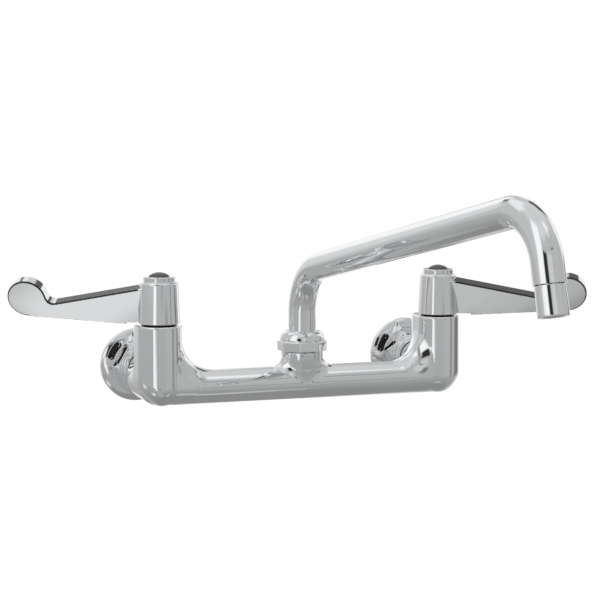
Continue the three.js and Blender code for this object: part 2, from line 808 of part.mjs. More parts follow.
function spoutSleeve() {
  return turned([
    [spoutRadius + gap, riserBottom],
    [sleeveRadius, riserBottom],
    ...sleeveRingLevels.flatMap((level) => ringGroove(sleeveRadius, sleeveRingSection, level)),
    [sleeveRadius, neckTop],
    [spoutRadius + gap, neckTop],
  ]);
}

function thrustRing() {
  return ring(spoutRadius + gap, neckThreadRadius - gap, neckTop + gap, neckTop + gap + thrustThickness);
}

function spoutNut() {
  const sides = 8;
  const cornerRadius = spoutNutFlats / 2 / Math.cos(Math.PI / sides);
  const crownSteps = 5;
  const crownBottom = spoutNutBottom + spoutNutBand;
  const crownRise = spoutNutTop - crownBottom;
  const crownInset = cornerRadius - spoutNutCrownRadius;
  const crown = Array.from({ length: crownSteps + 1 }, (_, i) => {
    const angle = (Math.PI / 2) * (i / crownSteps);
    const radius = spoutNutCrownRadius + crownInset * Math.cos(angle);
    return [radius, crownBottom + crownRise * Math.sin(angle)];
  });
  const turnedOutside = turned([
    [0, spoutNutBottom],
    [cornerRadius - 0.8, spoutNutBottom],
    [cornerRadius, spoutNutBottom + 0.6],
    ...crown,
    [0, spoutNutTop],
  ]);
  return cut(
    common(prism(sides, spoutNutFlats, spoutNutBottom, spoutNutTop, 180 / sides), turnedOutside),
    rod(neckThreadRadius + gap, spoutNutBottom - 1, nutLipUnderside),
    rod(spoutRadius + gap, spoutNutBottom, spoutNutTop + 1),
  );
}

// The outlet pieces are made about Z, with z = 0 at the mouth and the tube above, then laid on the outlet axis.
function onOutletAxis(mesh) {
  mesh.quaternion.setFromUnitVectors(new THREE.Vector3(0, 0, -1), outletAxis);
  mesh.position.copy(outletCentre);
  return mesh;
}

const outletSeamRadius = spoutRadius - outletSeamInset;
const outletMouthRadius = spoutRadius - outletMouthInset;
const outletBore = outletSeamRadius - outletWall;
const outletLipRadius = outletBore - outletLipWidth;

function outletShell() {
  const spigotRadius = tubeInner - gap;
  const spigotBore = spigotRadius - spigotWall;
  return turned([
    [outletLipRadius, 0],
    [outletMouthRadius - 0.5, 0],
    [outletMouthRadius, 0.5],
    [outletSeamRadius, outletLength],
    [spigotRadius, outletLength],
    [spigotRadius, outletLength + spigotLength],
    [spigotBore, outletLength + spigotLength],
    [spigotBore, outletLength - 1],
    [outletBore, outletLength - 2],
    [outletBore, outletLip],
    [outletLipRadius, outletLip],
  ]);
}

const screenBottom = outletLip + gap;
const straightenerBottom = screenBottom + screenThickness + gap;
const outletWasherBottom = straightenerBottom + straightenerThickness + gap;

// A disc with one central hole and a ring of six round it.
function perforatedDisc(bottom, top, holeRadius) {
  const centres = [[0, 0], ...Array.from({ length: 6 }, (_, i) => {
    const angle = (Math.PI * i) / 3;
    return [holePitch * Math.cos(angle), holePitch * Math.sin(angle)];
  })];
  const holes = centres.map(([x, y]) => rod(holeRadius, bottom - 1, top + 1, 8).translate(x, y, 0));
  return cut(rod(outletBore - gap, bottom, top, smallSides), ...holes);
}

function outletFittings() {
  const screenTop = screenBottom + screenThickness;
  const straightenerTop = straightenerBottom + straightenerThickness;
  const washerTop = outletWasherBottom + sealThickness;
  return [
    piece("outlet_shell", "chrome", outletShell()),
    piece("outlet_screen", "stainless", perforatedDisc(screenBottom, screenTop, screenHole)),
    piece("flow_straightener", "polymer", perforatedDisc(straightenerBottom, straightenerTop, straightenerHole)),
    piece("outlet_washer", "rubber", ring(outletWasherHole, outletBore - gap, outletWasherBottom, washerTop, smallSides)),
  ].map(onOutletAxis);
}

function spoutAssembly() {
  const group = new THREE.Group();
  group.position.set(0, -wallToColumn, 0);
  group.rotation.z = radians(spoutAngle);
  const [lowerRing, upperRing] = sleeveRingLevels.map((level) =>
    sealingRing(sleeveRadius, sleeveRingSection, level, roundSides),
  );
  group.add(
    piece("spout_tube", "chrome", spoutTube()),
    piece("spout_sleeve", "brass", spoutSleeve()),
    piece("lower_spout_ring", "rubber", lowerRing),
    piece("upper_spout_ring", "rubber", upperRing),
    piece("spout_thrust_ring", "polymer", thrustRing()),
    ...outletFittings(),
  );
  return group;
}

// ---------------------------------------------------------------- assembly

const faucet = new THREE.Group();

const body = piece("cast_body", "chrome", castBody());
body.position.set(0, -wallToColumn, 0);

const nut = piece("spout_nut", "chrome", spoutNut());
nut.position.set(0, -wallToColumn, 0);

faucet.add(
  body,
  nut,
  inletFittings("left", -halfSpacing),
  inletFittings("right", halfSpacing),
  valve("left", -halfSpacing),
  valve("right", halfSpacing),
  handleAssembly("left", -halfSpacing, leftHandleAngle, -bladeLean),
  handleAssembly("right", halfSpacing, rightHandleAngle, bladeLean),
  spoutAssembly(),
);

export default faucet;
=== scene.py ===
import math
import bpy
import bmesh
import numpy as np
from mathutils import Matrix, Vector


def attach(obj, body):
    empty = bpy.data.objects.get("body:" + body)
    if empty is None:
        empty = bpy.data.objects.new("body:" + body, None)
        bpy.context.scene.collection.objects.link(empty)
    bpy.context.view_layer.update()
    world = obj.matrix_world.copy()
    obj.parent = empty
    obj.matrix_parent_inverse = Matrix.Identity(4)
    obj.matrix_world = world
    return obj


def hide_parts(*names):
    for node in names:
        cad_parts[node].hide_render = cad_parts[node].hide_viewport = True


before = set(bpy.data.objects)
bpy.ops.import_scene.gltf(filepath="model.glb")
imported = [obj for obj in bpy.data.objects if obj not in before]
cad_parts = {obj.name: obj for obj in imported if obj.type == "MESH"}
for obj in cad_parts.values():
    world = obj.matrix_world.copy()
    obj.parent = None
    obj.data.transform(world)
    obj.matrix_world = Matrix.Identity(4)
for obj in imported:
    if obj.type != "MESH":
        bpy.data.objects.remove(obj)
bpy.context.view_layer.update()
scene = bpy.context.scene
print("frame loaded")

mm = 0.001
columnY = -63.5  # the columns' axes lie in this plane and at plus and minus columnX, in mm
columnX = 101.6

cameraPlace = {"place": (-434.09, -1279.55, 181.73), "yaw": 19.58, "down": 5.91, "roll": 0.19, "focal": 1887.05,
               "frameWidth": 600, "sensorWidth": 36, "nearest": 0.05, "farthest": 60}  # focal is in pixels of the frame


def makeCamera(values):
    data = bpy.data.cameras.new("camera")
    data.sensor_width = values["sensorWidth"]
    data.lens = values["focal"] * values["sensorWidth"] / values["frameWidth"]
    data.clip_start, data.clip_end = values["nearest"], values["farthest"]
    camera = bpy.data.objects.new("camera", data)
    scene.collection.objects.link(camera)
    yaw, down, roll = (math.radians(values[key]) for key in ("yaw", "down", "roll"))
    forward = Vector((math.sin(yaw) * math.cos(down), math.cos(yaw) * math.cos(down), -math.sin(down)))
    right = Vector((math.cos(yaw), -math.sin(yaw), 0))
    up = right.cross(forward)
    rolledRight = math.cos(roll) * right + math.sin(roll) * up
    rolledUp = math.cos(roll) * up - math.sin(roll) * right
    turn = Matrix((rolledRight, rolledUp, -forward)).transposed()
    camera.matrix_world = Matrix.Translation(Vector(values["place"]) * mm) @ turn.to_4x4()
    scene.camera = camera


makeCamera(cameraPlace)
scene.view_settings.view_transform = "Standard"
print("camera set")


def nodeSetter(tree):
    nodes, links = tree.nodes, tree.links

    def add(kind, inputs=None, **settings):
        node = nodes.new(kind)
        for key, value in settings.items():
            setattr(node, key, value)
        for key, value in (inputs or {}).items():
            socket = node.inputs[key]
            if isinstance(value, bpy.types.NodeSocket):
                links.new(value, socket)
            else:
                socket.default_value = value
        return node

    return add


def addSocket(group, name, kind, isInput, value=None):
    socket = group.interface.new_socket(name=name, in_out="INPUT" if isInput else "OUTPUT", socket_type=kind)
    if value is not None:
        socket.default_value = value


# Cloudy variation of a polished or machined surface: small changes of tone, of gloss and of level.
def makeVariationGroup():
    group = bpy.data.node_groups.new("surfaceVariation", "ShaderNodeTree")
    addSocket(group, "Color", "NodeSocketColor", True, (0.8, 0.8, 0.8, 1))
    addSocket(group, "Tone Change", "NodeSocketFloat", True, 0.03)
    addSocket(group, "Roughness", "NodeSocketFloat", True, 0.1)
    addSocket(group, "Roughness Change", "NodeSocketFloat", True, 0.03)
    addSocket(group, "Patch Size", "NodeSocketFloat", True, 12.0)
    addSocket(group, "Grain Size", "NodeSocketFloat", True, 0.6)
    addSocket(group, "Grain Depth", "NodeSocketFloat", True, 0.0)
    addSocket(group, "Color", "NodeSocketColor", False)
    addSocket(group, "Roughness", "NodeSocketFloat", False)
    addSocket(group, "Normal", "NodeSocketVector", False)
    add = nodeSetter(group)
    given = add("NodeGroupInput").outputs
    place = add("ShaderNodeTexCoord").outputs["Object"]
    patchScale = add("ShaderNodeMath", {0: 1000.0, 1: given["Patch Size"]}, operation="DIVIDE").outputs[0]
    grainScale = add("ShaderNodeMath", {0: 1000.0, 1: given["Grain Size"]}, operation="DIVIDE").outputs[0]
    patches = add("ShaderNodeTexNoise", {"Vector": place, "Scale": patchScale, "Detail": 3.0}).outputs["Fac"]
    grain = add("ShaderNodeTexNoise", {"Vector": place, "Scale": grainScale, "Detail": 2.0}).outputs["Fac"]
    centred = add("ShaderNodeMath", {0: patches, 1: 0.5}, operation="SUBTRACT").outputs[0]
    tone = add("ShaderNodeMath", {0: centred, 1: given["Tone Change"], 2: 1.0}, operation="MULTIPLY_ADD").outputs[0]
    colour = add("ShaderNodeVectorMath", {0: given["Color"], "Scale": tone}, operation="SCALE").outputs[0]
    rough = add("ShaderNodeMath", {0: centred, 1: given["Roughness Change"], 2: given["Roughness"]},
                operation="MULTIPLY_ADD", use_clamp=True).outputs[0]
    bump = add("ShaderNodeBump", {"Strength": 1.0, "Distance": given["Grain Depth"], "Height": grain}).outputs[0]
    add("NodeGroupOutput", {"Color": colour, "Roughness": rough, "Normal": bump})
    return group


variationGroup = makeVariationGroup()


def makeFinish(name, values):
    material = bpy.data.materials.new(name)
    material.use_nodes = True
    tree = material.node_tree
    tree.nodes.clear()
    add = nodeSetter(tree)
    varied = add("ShaderNodeGroup", node_tree=variationGroup)
    for key, value in {
        "Color": (*values["colour"], 1), "Tone Change": values["toneChange"], "Roughness": values["roughness"],
        "Roughness Change": values["roughnessChange"], "Patch Size": values["patchSize"],
        "Grain Size": values["grainSize"], "Grain Depth": values["grainDepth"] * mm,
    }.items():
        varied.inputs[key].default_value = value
    shader = add("ShaderNodeBsdfPrincipled", {
        "Base Color": varied.outputs["Color"], "Roughness": varied.outputs["Roughness"],
        "Normal": varied.outputs["Normal"], "Metallic": values["metallic"],
    })
    add("ShaderNodeOutputMaterial", {"Surface": shader.outputs[0]})
    return material


finishValues = {
    "polishedChrome": {"colour": (0.86, 0.87, 0.88), "toneChange": 0.03, "roughness": 0.035, "roughnessChange": 0.03,
                       "patchSize": 14, "grainSize": 2.5, "grainDepth": 0.0, "metallic": 1.0},
    "machinedBrass": {"colour": (0.66, 0.49, 0.24), "toneChange": 0.15, "roughness": 0.3, "roughnessChange": 0.15,
                      "patchSize": 6, "grainSize": 0.5, "grainDepth": 0.01, "metallic": 1.0},
    # near-black metal for the bonnet nut: painted shade for the dark gap under each handle hub
    "paintedGapShade": {"colour": (0.07, 0.06, 0.05), "toneChange": 0.2, "roughness": 0.5, "roughnessChange": 0.15,
                   "patchSize": 6, "grainSize": 0.5, "grainDepth": 0.01, "metallic": 1.0},
    # near-black metal for the blades' front bevel: a painted dark reflection
    "paintedArrisReflection": {"colour": (0.045, 0.046, 0.048), "toneChange": 0.1, "roughness": 0.25, "roughnessChange": 0.1,
                  "patchSize": 6, "grainSize": 0.5, "grainDepth": 0.0, "metallic": 1.0},
    "plainStainless": {"colour": (0.6, 0.61, 0.62), "toneChange": 0.08, "roughness": 0.28, "roughnessChange": 0.1,
                       "patchSize": 5, "grainSize": 0.4, "grainDepth": 0.006, "metallic": 1.0},
    "blackRubber": {"colour": (0.02, 0.02, 0.021), "toneChange": 0.3, "roughness": 0.7, "roughnessChange": 0.2,
                    "patchSize": 4, "grainSize": 0.4, "grainDepth": 0.02, "metallic": 0.0},
    "whiteCeramic": {"colour": (0.82, 0.81, 0.77), "toneChange": 0.05, "roughness": 0.2, "roughnessChange": 0.1,
                     "patchSize": 5, "grainSize": 0.3, "grainDepth": 0.0, "metallic": 0.0},
    "paleNylon": {"colour": (0.74, 0.74, 0.72), "toneChange": 0.06, "roughness": 0.45, "roughnessChange": 0.12,
                  "patchSize": 6, "grainSize": 0.3, "grainDepth": 0.008, "metallic": 0.0},
    "darkButton": {"colour": (0.06, 0.062, 0.066), "toneChange": 0.25, "roughness": 0.3, "roughnessChange": 0.12,
                   "patchSize": 3, "grainSize": 0.35, "grainDepth": 0.015, "metallic": 0.0},
}
finishes = {name: makeFinish(name, values) for name, values in finishValues.items()}
print("finishes made")

# distance functions, all in mm, negative inside

farInside = -9  # stands for a surface that doesn't count here
tiny = 1e-6
castValues = {"rounds": 4, "slopeStep": 0.02, "leastSlope": 0.25, "longestStep": 0.4, "normalStep": 0.12}


def filleted(a, b, radius):
    u, v = np.maximum(radius - a, 0), np.maximum(radius - b, 0)
    return np.maximum(radius, np.minimum(a, b)) - np.hypot(u, v)


def rounded(a, b, radius):
    u, v = np.maximum(radius + a, 0), np.maximum(radius + b, 0)
    return np.minimum(-radius, np.maximum(a, b)) + np.hypot(u, v)


def largest(*fields):
    return np.maximum.reduce(np.broadcast_arrays(*fields))


def smallest(*fields):
    return np.minimum.reduce(np.broadcast_arrays(*fields))


def polygon(x, y, sides, acrossFlats, flatDegrees=0.0, edge=0.25):
    step = 2 * math.pi / sides
    angle = np.arctan2(y, x) - math.radians(flatDegrees)
    folded = np.abs((angle + step / 2) % step - step / 2)
    reach = np.hypot(x, y)
    along, across = reach * np.cos(folded), reach * np.sin(folded)
    second = along * math.cos(step) + across * math.sin(step)
    return rounded(along - acrossFlats / 2, second - acrossFlats / 2, edge)


def gradientOf(distance, points, h):
    offsets = np.eye(3) * h
    return np.stack([distance(points + o) - distance(points - o) for o in offsets], -1) / (2 * h)


# Turns a distance function into a mesh of small quads whose points lie on the surface.
def castMesh(name, distance, low, high, cell):
    axes = [np.arange(a, b + cell, cell) for a, b in zip(low, high)]
    grid = np.stack(np.meshgrid(*axes, indexing="ij"), -1)
    shape = np.array(grid.shape[:3])
    value = distance(grid.reshape(-1, 3)).reshape(shape)
    inside = value < 0
    cells = shape - 1
    total = np.zeros((*cells, 3))
    count = np.zeros(cells)
    crossings = []
    for axis in range(3):
        near = [slice(None)] * 3
        far = [slice(None)] * 3
        near[axis], far[axis] = slice(0, -1), slice(1, None)
        near, far = tuple(near), tuple(far)
        crossed = inside[near] != inside[far]
        share = np.where(crossed, value[near] / np.where(crossed, value[near] - value[far], 1), 0)
        place = grid[near] + (grid[far] - grid[near]) * share[..., None]
        place[~crossed] = 0
        b, c = (axis + 1) % 3, (axis + 2) % 3
        for db in (0, 1):
            for dc in (0, 1):
                part = [slice(None)] * 3
                part[b] = slice(db, db + cells[b])
                part[c] = slice(dc, dc + cells[c])
                total += place[tuple(part)]
                count += crossed[tuple(part)]
        crossings.append((crossed, inside[near]))
    used = count > 0
    index = np.full(cells, -1)
    index[used] = np.arange(used.sum())
    points = total[used] / count[used][:, None]
    faces = []
    for axis, (crossed, outward) in enumerate(crossings):
        b, c = (axis + 1) % 3, (axis + 2) % 3
        where = np.argwhere(crossed)
        keep = (where[:, b] > 0) & (where[:, c] > 0) & (where[:, b] < cells[b]) & (where[:, c] < cells[c])
        where = where[keep]
        corners = []
        for db, dc in ((-1, -1), (0, -1), (0, 0), (-1, 0)):
            at = where.copy()
            at[:, b] += db
            at[:, c] += dc
            corners.append(index[tuple(at.T)])
        quad = np.stack(corners, 1)
        flip = ~outward[tuple(where.T)]
        quad[flip] = quad[flip][:, ::-1]
        faces.append(quad)
    faces = np.concatenate(faces)
    for _ in range(castValues["rounds"]):
        slope = gradientOf(distance, points, castValues["slopeStep"])
        size = np.maximum((slope ** 2).sum(-1), castValues["leastSlope"])
        step = slope * (distance(points) / size)[:, None]
        length = np.linalg.norm(step, axis=-1, keepdims=True)
        points = points - step * np.minimum(1, castValues["longestStep"] * cell / np.maximum(length, 1e-9))
    normals = gradientOf(distance, points, castValues["normalStep"])
    normals /= np.maximum(np.linalg.norm(normals, axis=-1, keepdims=True), 1e-9)
    mesh = bpy.data.meshes.new(name)
    mesh.from_pydata((points * mm).tolist(), [], faces.tolist())
    mesh.polygons.foreach_set("use_smooth", np.ones(len(mesh.polygons), bool))
    mesh.normals_split_custom_set_from_vertices(normals.tolist())
    mesh.update()
    print(f"{name}: {len(faces) * 2} triangles")
    return mesh


def place(name, mesh, finish, body, replaced, slotName):
    piece = bpy.data.objects.new(name, mesh)
    scene.collection.objects.link(piece)
    mesh.materials.clear()
    mesh.materials.append(finishes[finish])
    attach(piece, body)
    if replaced:
        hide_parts(*replaced)
    return piece


bodyValues = {
    "columnRadius": 15.2, "columnDraft": 0.4, "columnDepth": 8, "columnTop": 34.4, "columnTopRound": 1.2,
    "footRound": 13, "outerRound": 18.5,
    "barRadius": 11.5, "barLevel": -8.65, "barFillet": 22, "barFade": 10, "leastFillet": 0.02,
    "neckRadius": 14.4, "neckFillet": 8, "neckBend": 12, "neckSink": 1.25, "neckFade": 5,
    "neckShoulder": 13.1, "neckZone": 30, "neckTop": 21, "threadRadius": 13,
    "drumRadius": 15, "drumLength": 35.5, "drumRound": 4, "drumFillet": 4,
    "tailRadius": 11, "tailLength": 46.9, "tailLip": 12.4, "tailLipDepth": 2.4,
    "barBore": 6, "columnBore": 6, "columnBoreTop": 2, "seatBore": 10.4, "seatFloor": 1, "seatTop": 27,
    "bonnetBore": 12, "bonnetFloor": 26, "tailBore": 7, "tailBoreEnd": 8.4,
    "sleeveBore": 11.6, "sleeveFloor": 4.3, "neckBore": 7, "neckBoreTop": 5,
    "cell": 0.84, "box": ((-118, -81, -21), (118, -15.5, 35.5)),
}


def bodyDistance(v):
    bottom = v["barLevel"] - v["barRadius"]
    height = v["columnTop"] - bottom
    least = v["leastFillet"]

    def distance(points):
        x, y, z = points[:, 0], points[:, 1] - columnY, points[:, 2]
        side, level, reach = np.abs(x) - columnX, z - v["barLevel"], np.hypot(x, y)
        back = y - np.clip(y, 0, v["columnDepth"])
        about = np.hypot(side, back)
        wall = about - v["columnRadius"] - v["columnDraft"] * (v["columnTop"] - z) / height
        outward = np.clip(side, 0, None) / (about + tiny)
        foot = v["footRound"] + (v["outerRound"] - v["footRound"]) * outward * outward
        column = rounded(rounded(wall, bottom - z, foot), z - v["columnTop"], v["columnTopRound"])
        drumLevel = z - bottom - v["drumRadius"]
        drum = np.hypot(side, drumLevel) - v["drumRadius"]
        drum = largest(rounded(drum, y - v["drumLength"], v["drumRound"]), -y)
        bar = largest(np.hypot(y, level) - v["barRadius"], side)
        # each fillet fades out where the two surfaces face the same way
        out, under = np.maximum(foot + wall, 0), np.maximum(foot + bottom - z, 0)
        out, under = out / (np.hypot(out, under) + tiny), under / (np.hypot(out, under) + tiny)
        barBack, barUp = y / np.hypot(y, level + tiny), level / np.hypot(y, level + tiny)
        alike = barBack * back / (about + tiny) * out - barUp * under
        drumAlike = (side * side / (about + tiny) * out - drumLevel * under) / np.hypot(side, drumLevel + tiny)
        outside = filleted(column, drum, v["drumFillet"] * np.clip(1 - drumAlike, least, 1))
        fade = np.clip(1 - alike, least, 1) * np.clip(-side / v["barFade"], least, 1)
        outside = filleted(outside, bar, v["barFillet"] * fade)
        # the neck's front and back draw in to the bar's own width at the bar's axis
        share = np.clip((v["neckBend"] - z) / (v["neckBend"] - v["barLevel"]), 0, 1)
        depth = v["neckRadius"] - (v["neckRadius"] - v["barRadius"]) * share * share * (3 - 2 * share)
        sunk = np.maximum(-level, 0) * v["neckSink"]
        neck = np.sqrt(x * x + (y * v["neckRadius"] / depth) ** 2 + sunk * sunk) - v["neckRadius"]
        neckAlike = barBack * y / (reach + tiny) + np.clip(-level / v["neckFade"], 0, 1)
        outside = filleted(outside, neck, v["neckFillet"] * np.clip(1 - neckAlike, least, 1))
        outside = largest(outside, np.where(reach < v["neckZone"], z - v["neckShoulder"], farInside))
        thread = largest(reach - v["threadRadius"], z - v["neckTop"], -z)
        tail = largest(np.hypot(side, z) - v["tailRadius"], y - v["tailLength"], -y)
        lip = largest(np.hypot(side, z) - v["tailLip"], y - v["tailLength"], v["tailLength"] - v["tailLipDepth"] - y)
        outside = smallest(outside, thread, tail, lip)
        centred = np.hypot(side, y)
        hollow = smallest(
            largest(np.hypot(y, level) - v["barBore"], side),
            largest(centred - v["columnBore"], -level, z - v["columnBoreTop"]),
            largest(centred - v["seatBore"], v["seatFloor"] - z, z - v["seatTop"]),
            largest(centred - v["bonnetBore"], v["bonnetFloor"] - z),
            largest(np.hypot(side, z) - v["tailBore"], v["tailBoreEnd"] - y),
            largest(reach - v["sleeveBore"], v["sleeveFloor"] - z),
            largest(reach - v["neckBore"], -level, z - v["neckBoreTop"]),
        )
        return largest(outside, -hollow)

    return distance


place("castBody", castMesh("castBody", bodyDistance(bodyValues), *bodyValues["box"], bodyValues["cell"]),
      "polishedChrome", "body", ["cast_body"], "chrome")

nutValues = {"acrossFlats": 31.75, "sides": 8, "bottom": 13.5, "band": 20.2, "top": 27, "crownRadius": 11, "step": 0.2,
             "thread": 13.3, "threadTop": 23.8, "hole": 9.825, "bandRound": 0.4, "cornerCut": 0.15, "bottomRound": 0.5,
             "holeRound": 0.3, "cell": 0.4, "box": ((-18, columnY - 18, 12.5), (18, columnY + 18, 28))}


def spoutNutDistance(v):
    corner = v["acrossFlats"] / 2 / math.cos(math.pi / v["sides"])

    def distance(points):
        x, y, z = points[:, 0], points[:, 1] - columnY, points[:, 2]
        reach = np.hypot(x, y)
        flats = polygon(x, y, v["sides"], v["acrossFlats"])
        inset, rise = v["acrossFlats"] / 2 - v["step"] - v["crownRadius"], v["top"] - v["band"]
        out, above = np.maximum(reach - v["crownRadius"], 0) / inset, np.maximum(z - v["band"], 0) / rise
        dome = (np.hypot(out, above) - 1) * inset
        band = largest(rounded(flats, z - v["band"], v["bandRound"]), reach - corner + v["cornerCut"])
        outside = rounded(smallest(band, dome), v["bottom"] - z, v["bottomRound"])
        hollow = smallest(largest(reach - v["thread"], z - v["threadTop"]), reach - v["hole"])
        return rounded(outside, -hollow, v["holeRound"])

    return distance


place("spoutNut", castMesh("spoutNut", spoutNutDistance(nutValues), *nutValues["box"], nutValues["cell"]),
      "polishedChrome", "body", ["spout_nut"], "chrome")

# wall flanges and coupling nuts lie along Y, so their depth is measured from the wall

flangeValues = {"radius": 25.6, "rim": 3.4, "crownRadius": 20.5, "thickness": 6.4, "bossRadius": 12.4, "bossEnd": 13.9,
                "portRadius": 9.3, "portDepth": 9, "hole": 8.2, "slotCircle": 20, "slotLength": 14, "slotWidth": 4.6,
                "leftSlot": 148, "rightSlot": 155, "coneRound": 2.0, "rimRound": 0.7, "bossRound": 0.4,
                "bossFillet": 0.8, "holeRound": 0.35, "cell": 0.6, "boxHalf": 26.5, "boxFront": -15, "boxBack": 0.9}


def flangeDistance(v, centreX, slotDegrees):
    sweep = (v["slotLength"] - v["slotWidth"]) / 2 / v["slotCircle"]
    slope = math.atan2(v["thickness"] - v["rim"], v["radius"] - v["crownRadius"])

    def distance(points):
        x, depth, z = points[:, 0] - centreX, -points[:, 1], points[:, 2]
        reach = np.hypot(x, z)
        cone = (reach - v["crownRadius"]) * math.sin(slope) + (depth - v["thickness"]) * math.cos(slope)
        disc = rounded(reach - v["radius"], rounded(cone, depth - v["thickness"], v["coneRound"]), v["rimRound"])
        boss = rounded(reach - v["bossRadius"], depth - v["bossEnd"], v["bossRound"])
        outside = largest(filleted(disc, boss, v["bossFillet"]), -depth)
        angle = np.arctan2(z, x) - math.radians(slotDegrees)
        folded = (angle + math.pi / 2) % math.pi - math.pi / 2  # the second slot lies opposite the first
        held = np.clip(folded, -sweep, sweep)
        slot = np.hypot(reach * np.cos(folded) - v["slotCircle"] * np.cos(held),
                        reach * np.sin(folded) - v["slotCircle"] * np.sin(held)) - v["slotWidth"] / 2
        port = largest(reach - v["portRadius"], depth - v["portDepth"])
        return rounded(outside, -smallest(slot, port, reach - v["hole"]), v["holeRound"])

    return distance


couplingValues = {"acrossFlats": 31.75, "back": 6.9, "hexFront": 18.2, "front": 23.2, "noseRadius": 14.6, "sides": 6,
                  "cornerCut": 0.6, "cornerSlope": 32, "edgeRound": 0.3, "noseRound": 1.4, "noseFillet": 0.5,
                  "thread": 12.7, "lip": 3.9, "hole": 11.3, "leftTurn": 0, "rightTurn": -10, "cell": 0.5,
                  "boxHalf": 19.5, "boxFront": -24.4, "boxBack": -5.8}


def couplingDistance(v, centreX, turn):
    corner = v["acrossFlats"] / 2 / math.cos(math.pi / v["sides"])

    def distance(points):
        x, depth, z = points[:, 0] - centreX, -points[:, 1], points[:, 2]
        reach = np.hypot(x, z)
        flats = polygon(x, z, v["sides"], v["acrossFlats"], 180 / v["sides"] + turn)
        slope = math.radians(v["cornerSlope"])  # turned chamfer over the hexagon's corners
        cone = (reach - corner + v["cornerCut"]) * math.sin(slope) + (depth - v["hexFront"]) * math.cos(slope)
        backCone = (reach - corner + v["cornerCut"]) * math.sin(slope) + (v["back"] - depth) * math.cos(slope)
        hexagon = rounded(flats, largest(cone, depth - v["hexFront"]), v["edgeRound"])
        hexagon = rounded(hexagon, largest(backCone, v["back"] - depth), v["edgeRound"])
        nose = rounded(reach - v["noseRadius"], depth - v["front"], v["noseRound"])
        outside = filleted(hexagon, largest(nose, v["back"] - depth), v["noseFillet"])
        hollow = smallest(largest(reach - v["thread"], depth - v["front"] + v["lip"]), reach - v["hole"])
        return rounded(outside, -hollow, v["edgeRound"])

    return distance


def ringBox(v, centre):
    return (centre - v["boxHalf"], v["boxFront"], -v["boxHalf"]), (centre + v["boxHalf"], v["boxBack"], v["boxHalf"])


for side, sign in (("left", -1), ("right", 1)):
    centre = sign * columnX
    flange = flangeDistance(flangeValues, centre, flangeValues[f"{side}Slot"])
    mesh = castMesh(f"{side}Flange", flange, *ringBox(flangeValues, centre), flangeValues["cell"])
    place(f"{side}Flange", mesh, "polishedChrome", "body", [f"{side}_wall_flange"], "chrome")
    coupling = couplingDistance(couplingValues, centre, couplingValues[f"{side}Turn"])
    mesh = castMesh(f"{side}CouplingNut", coupling, *ringBox(couplingValues, centre), couplingValues["cell"])
    place(f"{side}CouplingNut", mesh, "polishedChrome", "body", [f"{side}_coupling_nut"], "chrome")


slotShadeValues = {"front": 0.7, "back": 0.1, "slotMargin": 0.1, "arcSteps": 12}


# Black sheet closing the back of each flange slot, in the rubber finish: painted shade standing in for the shadow deep
# in the slot.
def makeSlotShadeSheet(v, side, centreX, slotDegrees):
    f = flangeValues
    width = f["slotWidth"] / 2 - v["slotMargin"]
    sweep = (f["slotLength"] - f["slotWidth"]) / 2 / f["slotCircle"]
    work = bmesh.new()
    for turn in (0, math.pi):
        middle = math.radians(slotDegrees) + turn
        rim = []
        for end in (1, -1):
            centre = middle + end * sweep
            for step in range(v["arcSteps"] + 1):
                a = centre + end * math.pi / 2 + (step / v["arcSteps"] - 0.5) * math.pi
                rim.append((f["slotCircle"] * math.cos(centre) + width * math.cos(a),
                            f["slotCircle"] * math.sin(centre) + width * math.sin(a)))
        layers = [[work.verts.new(((centreX + x) * mm, -depth * mm, z * mm)) for x, z in rim]
                  for depth in (v["front"], v["back"])]
        work.faces.new(layers[0])
        work.faces.new(layers[1][::-1])
        for i in range(len(rim)):
            j = (i + 1) % len(rim)
            work.faces.new((layers[0][i], layers[1][i], layers[1][j], layers[0][j]))
    bmesh.ops.recalc_face_normals(work, faces=work.faces)
    mesh = bpy.data.meshes.new(f"{side}SlotShadeSheet")
    work.to_mesh(mesh)
    work.free()
    return mesh


# black sheets in the flange slots: painted shade
for side, sign in (("left", -1), ("right", 1)):
    mesh = makeSlotShadeSheet(slotShadeValues, side, sign * columnX, flangeValues[f"{side}Slot"])
    place(f"{side}SlotShadeSheet", mesh, "blackRubber", "body", [], "rubber")
print("body, nuts and flanges made")

handleValues = {
    "bottom": 35.6, "bottomRadius": 14.1, "topRadius": 12.8, "shoulder": 63.6, "shoulderRound": 1.6,
    "crownRadius": 10.8, "top": 67.2, "crownRound": 0.6, "bottomRound": 0.4,
    "flats": 12, "flatDepth": 0.5, "flatEdge": 0.15,
    "facetShare": 0.35, "skirtRadius": 10.8, "skirtTop": 44.4, "broach": 4.3, "broachTop": 53.8,
    "screwHole": 2.2, "screwSeat": 57.1, "screwOverlap": 1, "recess": 7.3, "holeRound": 0.25,
    "bladeLevel": 48, "bladeThickness": 7.8, "lean": 24, "paddleReach": 90.6, "paddleRadius": 13.25, "paddleRise": 4.7,
    "rootAbove": 16.2, "rootBelow": 14.8, "taper": 11.7, "bladeFillet": 7, "bladeEdge": 0.4, "frontEdge": 0.15,
    "rootFillet": 0.5, "arrisWidth": 0.62, "arrisTilt": 45, "arrisDepth": 0.2, "arrisStart": 1,
    "clearRadius": 23.5, "leftTurn": 151.4, "rightTurn": -25.9,
    "cell": 0.44, "boxReach": 105, "boxHalf": 15.5, "boxLow": 34.5, "boxHigh": 68.5,
}


